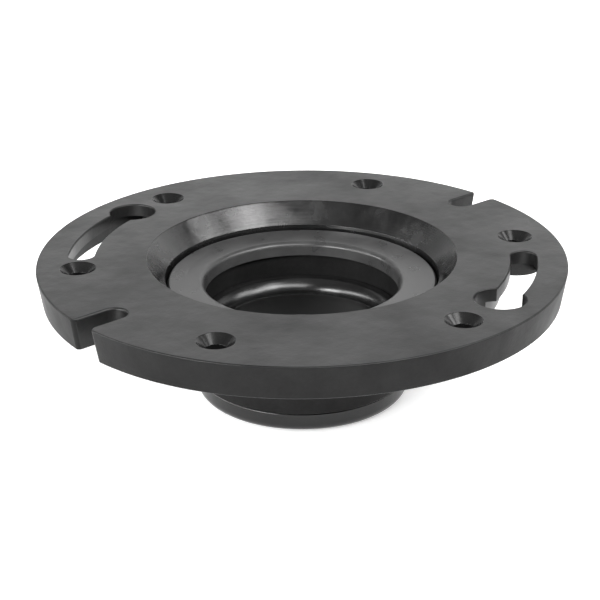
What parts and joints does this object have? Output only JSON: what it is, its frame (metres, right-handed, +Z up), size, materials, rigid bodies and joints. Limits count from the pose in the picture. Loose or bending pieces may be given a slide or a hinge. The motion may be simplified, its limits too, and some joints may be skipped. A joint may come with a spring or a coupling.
{
  "type": "toilet flange",
  "caption": "Swivel-ring toilet flange: slotted floor ring with a conical wax seat, turning on a short hub with a rubber push-on gasket for the soil pipe.",
  "frame": {"origin": "centre of the gasket's lower end, on the swivel axis, at the bottom of the part", "axes": "+Z up along the swivel axis from the pipe to the toilet; +X through the middle of one edge notch of the floor ring at rest"},
  "size_m": [0.1776, 0.1778, 0.0493],
  "materials": {
    "ring_coating": "satin black coating over a fine casting grain, machined wax seat",
    "hub_coating": "semi-gloss black coating over a machined surface",
    "spring_steel": "plain oiled spring steel",
    "gasket_rubber": "moulded black rubber, slightly glossy"
  },
  "bodies": {
    "hub_body": {"hub": "hub_coating", "pipe_gasket": "gasket_rubber", "retaining_ring": "spring_steel"},
    "ring_body": {"flange_ring": "ring_coating"}
  },
  "joints": [
    {"name": "ring_swivel", "type": "hinge", "parent": "hub_body", "child": "ring_body", "pos_m": [0, 0, 0.0327], "axis": [0, 0, 1], "continuous": true}
  ]
}
